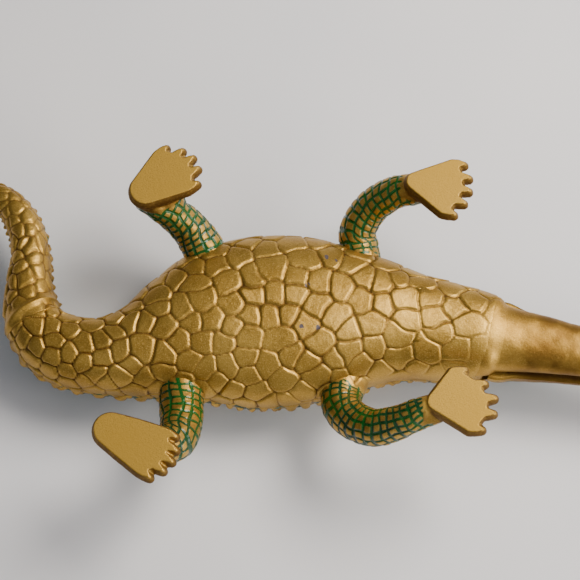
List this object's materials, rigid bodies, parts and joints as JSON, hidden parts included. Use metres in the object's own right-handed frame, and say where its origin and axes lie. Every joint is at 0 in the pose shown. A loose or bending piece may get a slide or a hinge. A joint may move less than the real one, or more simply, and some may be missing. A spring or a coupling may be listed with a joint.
{
  "type": "alligator hair clip",
  "caption": "Alligator-shaped hair clip lying on its back: hollow scaled body, four legs, curled tail, long toothed jaws on a sprung hinge with a thumb plate in the back.",
  "frame": {"origin": "middle of the footprint of the whole clip, on the surface that its back rests on", "axes": "+X towards the snout, along the jaws; +Z towards the belly, which faces up; +Y to the clip's left as seen from above with the snout to the right. The hinge axis is parallel to Y."},
  "size_m": [0.1395, 0.0658, 0.026],
  "materials": {
    "gold_body": "satin metallic gold paint over moulded scales, with fine flake and darker creases",
    "gold_leg": "satin gold paint with hand-painted glossy green grid lines on the legs",
    "gold_jaw": "smooth satin metallic gold paint",
    "steel": "stamped and plated",
    "spring_steel": "drawn spring wire",
    "brass": "turned",
    "eye": "glossy dark green bead"
  },
  "bodies": {
    "root": {"belly_shell": "gold_body", "back_shell": "gold_body", "tail_end": "gold_body", "tail_spigot": "brass", "front_left_leg": "gold_leg", "front_right_leg": "gold_leg", "rear_left_leg": "gold_leg", "rear_right_leg": "gold_leg", "lower_jaw": "gold_jaw", "lower_arm": "steel", "lower_arm_screws": "steel", "hinge_pin": "steel", "pin_sleeve": "brass", "torsion_spring": "spring_steel", "case_screws": "brass"},
    "lever": {"upper_jaw": "gold_jaw", "thumb_plate": "gold_body", "upper_arm": "steel", "upper_arm_rivets": "steel", "left_eye": "eye", "right_eye": "eye"}
  },
  "joints": [
    {"name": "jaw_hinge", "type": "hinge", "parent": "root", "child": "lever", "pos_m": [0.02607, 0.00692, 0.0115], "axis": [0, 1, 0], "range_deg": [0, 12], "stiffness_Nm_per_rad": 0.037, "springref_deg": -85.94, "deforming": ["torsion_spring"]}
  ]
}
